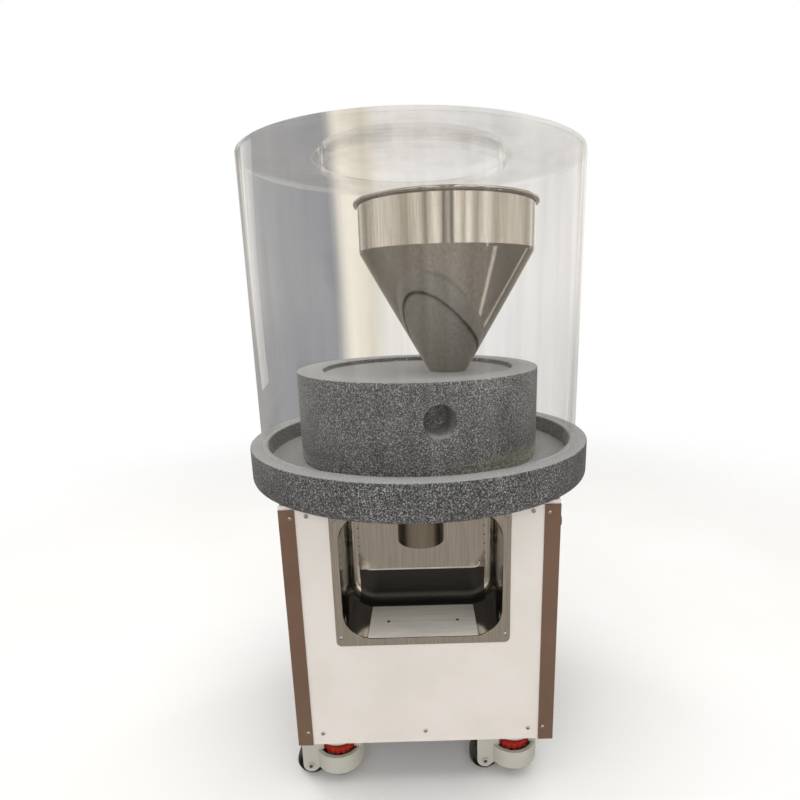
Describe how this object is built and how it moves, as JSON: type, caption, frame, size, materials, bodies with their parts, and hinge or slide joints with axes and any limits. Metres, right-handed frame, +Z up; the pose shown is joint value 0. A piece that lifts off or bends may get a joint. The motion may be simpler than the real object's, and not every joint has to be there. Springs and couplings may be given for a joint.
{
  "type": "matcha stone mill",
  "caption": "Upright powered stone mill: granite bed and turning runner under a clear cover, steel hopper above, cup niche in a cabinet on levelling castors.",
  "frame": {"origin": "on the floor under the middle of the drive shaft, midway between the castors", "axes": "+Z up, front with the cup niche towards -Y, control side towards +X"},
  "size_m": [0.56, 0.56, 0.996],
  "materials": {
    "granite": "speckled grey granite, dressed and honed",
    "polished_steel": "polished stainless sheet",
    "clear_acrylic": "clear cast acrylic",
    "cream_paint": "satin off-white powder coat",
    "brown_paint": "satin brown powder coat",
    "frame_steel": "dark grey paint on steel",
    "screw_steel": "bright zinc plate",
    "machine_iron": "painted cast iron",
    "bright_steel": "turned steel",
    "gear_bronze": "cut bronze",
    "black_rubber": "moulded rubber",
    "black_plastic": "moulded plastic",
    "red_plastic": "moulded red plastic",
    "castor_metal": "cast and bead blasted",
    "castor_nylon": "moulded black nylon"
  },
  "bodies": {
    "cabinet": {"bed_stone": "granite", "discharge_chute": "polished_steel", "top_plate": "cream_paint", "base_plate": "frame_steel", "corner_posts": "frame_steel", "front_panel": "cream_paint", "rear_panel": "cream_paint", "left_side_panel": "brown_paint", "right_side_panel": "brown_paint", "niche_liner": "polished_steel", "panel_screws": "screw_steel", "flange_screws": "screw_steel", "niche_screws": "screw_steel", "shaft_seal": "black_rubber", "bearing_housing": "machine_iron", "upper_bearing": "bright_steel", "lower_bearing": "bright_steel", "gearbox_housing": "machine_iron", "gearbox_lid": "machine_iron", "gearbox_bush": "gear_bronze", "motor_housing": "machine_iron", "motor_stator": "machine_iron", "motor_stand": "frame_steel", "speed_controller": "black_plastic", "rocker_bezel": "black_plastic", "power_inlet": "black_plastic", "castor_plates": "castor_metal", "castor_bolts": "screw_steel"},
    "runner": {"runner_stone": "granite", "runner_skirt": "granite", "grinding_face": "granite", "rynd": "machine_iron", "powder_scraper": "polished_steel", "hopper": "polished_steel", "drive_shaft": "bright_steel", "shaft_coupling": "bright_steel", "output_shaft": "bright_steel", "output_gear": "gear_bronze"},
    "rotor": {"motor_rotor": "bright_steel", "motor_pinion": "gear_bronze"},
    "cover": {"cover_shell": "clear_acrylic", "cover_top": "clear_acrylic"},
    "lid": {"fill_lid": "clear_acrylic"},
    "knob": {"speed_knob": "black_plastic"},
    "rocker": {"power_rocker": "red_plastic"},
    "castor_fl": {"castor_body_fl": "castor_metal"},
    "wheel_fl": {"castor_wheel_fl": "castor_nylon"},
    "thumb_fl": {"thumbwheel_fl": "red_plastic"},
    "foot_fl": {"levelling_foot_fl": "black_rubber"},
    "castor_fr": {"castor_body_fr": "castor_metal"},
    "wheel_fr": {"castor_wheel_fr": "castor_nylon"},
    "thumb_fr": {"thumbwheel_fr": "red_plastic"},
    "foot_fr": {"levelling_foot_fr": "black_rubber"},
    "castor_rl": {"castor_body_rl": "castor_metal"},
    "wheel_rl": {"castor_wheel_rl": "castor_nylon"},
    "thumb_rl": {"thumbwheel_rl": "red_plastic"},
    "foot_rl": {"levelling_foot_rl": "black_rubber"},
    "castor_rr": {"castor_body_rr": "castor_metal"},
    "wheel_rr": {"castor_wheel_rr": "castor_nylon"},
    "thumb_rr": {"thumbwheel_rr": "red_plastic"},
    "foot_rr": {"levelling_foot_rr": "black_rubber"}
  },
  "joints": [
    {"name": "runner_spin", "type": "hinge", "parent": "cabinet", "child": "runner", "pos_m": [0, 0, 0.56], "axis": [0, 0, 1], "continuous": true},
    {"name": "rotor_spin", "type": "hinge", "parent": "cabinet", "child": "rotor", "pos_m": [0, 0.08, 0.2], "axis": [0, 0, 1], "continuous": true},
    {"name": "cover_lift", "type": "slide", "parent": "cabinet", "child": "cover", "axis": [0, 0, 1], "range_m": [0, 0.45]},
    {"name": "lid_lift", "type": "slide", "parent": "cover", "child": "lid", "axis": [0, 0, 1], "range_m": [0, 0.12]},
    {"name": "speed_turn", "type": "hinge", "parent": "cabinet", "child": "knob", "pos_m": [0.2, -0.121, 0.433], "axis": [1, 0, 0], "range_deg": [0, 270]},
    {"name": "power_tip", "type": "hinge", "parent": "cabinet", "child": "rocker", "pos_m": [0.197, -0.071, 0.433], "axis": [0, 0, 1], "range_deg": [-14, 0]},
    {"name": "swivel_fl", "type": "hinge", "parent": "cabinet", "child": "castor_fl", "pos_m": [-0.145, -0.146, 0.09], "axis": [0, 0, 1], "continuous": true},
    {"name": "roll_fl", "type": "hinge", "parent": "castor_fl", "child": "wheel_fl", "pos_m": [-0.192, -0.146, 0.025], "axis": [0, 1, 0], "continuous": true},
    {"name": "level_fl", "type": "hinge", "parent": "castor_fl", "child": "thumb_fl", "pos_m": [-0.145, -0.146, 0.056], "axis": [0, 0, 1], "range_deg": [0, 720]},
    {"name": "foot_drop_fl", "type": "slide", "parent": "castor_fl", "child": "foot_fl", "axis": [0, 0, -1], "range_m": [0, 0.0082]},
    {"name": "swivel_fr", "type": "hinge", "parent": "cabinet", "child": "castor_fr", "pos_m": [0.145, -0.146, 0.09], "axis": [0, 0, 1], "continuous": true},
    {"name": "roll_fr", "type": "hinge", "parent": "castor_fr", "child": "wheel_fr", "pos_m": [0.098, -0.146, 0.025], "axis": [0, 1, 0], "continuous": true},
    {"name": "level_fr", "type": "hinge", "parent": "castor_fr", "child": "thumb_fr", "pos_m": [0.145, -0.146, 0.056], "axis": [0, 0, 1], "range_deg": [0, 720]},
    {"name": "foot_drop_fr", "type": "slide", "parent": "castor_fr", "child": "foot_fr", "axis": [0, 0, -1], "range_m": [0, 0.0082]},
    {"name": "swivel_rl", "type": "hinge", "parent": "cabinet", "child": "castor_rl", "pos_m": [-0.145, 0.146, 0.09], "axis": [0, 0, 1], "continuous": true},
    {"name": "roll_rl", "type": "hinge", "parent": "castor_rl", "child": "wheel_rl", "pos_m": [-0.192, 0.146, 0.025], "axis": [0, 1, 0], "continuous": true},
    {"name": "level_rl", "type": "hinge", "parent": "castor_rl", "child": "thumb_rl", "pos_m": [-0.145, 0.146, 0.056], "axis": [0, 0, 1], "range_deg": [0, 720]},
    {"name": "foot_drop_rl", "type": "slide", "parent": "castor_rl", "child": "foot_rl", "axis": [0, 0, -1], "range_m": [0, 0.0082]},
    {"name": "swivel_rr", "type": "hinge", "parent": "cabinet", "child": "castor_rr", "pos_m": [0.145, 0.146, 0.09], "axis": [0, 0, 1], "continuous": true},
    {"name": "roll_rr", "type": "hinge", "parent": "castor_rr", "child": "wheel_rr", "pos_m": [0.098, 0.146, 0.025], "axis": [0, 1, 0], "continuous": true},
    {"name": "level_rr", "type": "hinge", "parent": "castor_rr", "child": "thumb_rr", "pos_m": [0.145, 0.146, 0.056], "axis": [0, 0, 1], "range_deg": [0, 720]},
    {"name": "foot_drop_rr", "type": "slide", "parent": "castor_rr", "child": "foot_rr", "axis": [0, 0, -1], "range_m": [0, 0.0082]}
  ],
  "couplings": [
    {"joint": "rotor_spin", "follows": "runner_spin", "ratio": -3},
    {"joint": "foot_drop_fl", "follows": "level_fl", "m_per_rad": 0.00063662},
    {"joint": "foot_drop_fr", "follows": "level_fr", "m_per_rad": 0.00063662},
    {"joint": "foot_drop_rl", "follows": "level_rl", "m_per_rad": 0.00063662},
    {"joint": "foot_drop_rr", "follows": "level_rr", "m_per_rad": 0.00063662}
  ]
}
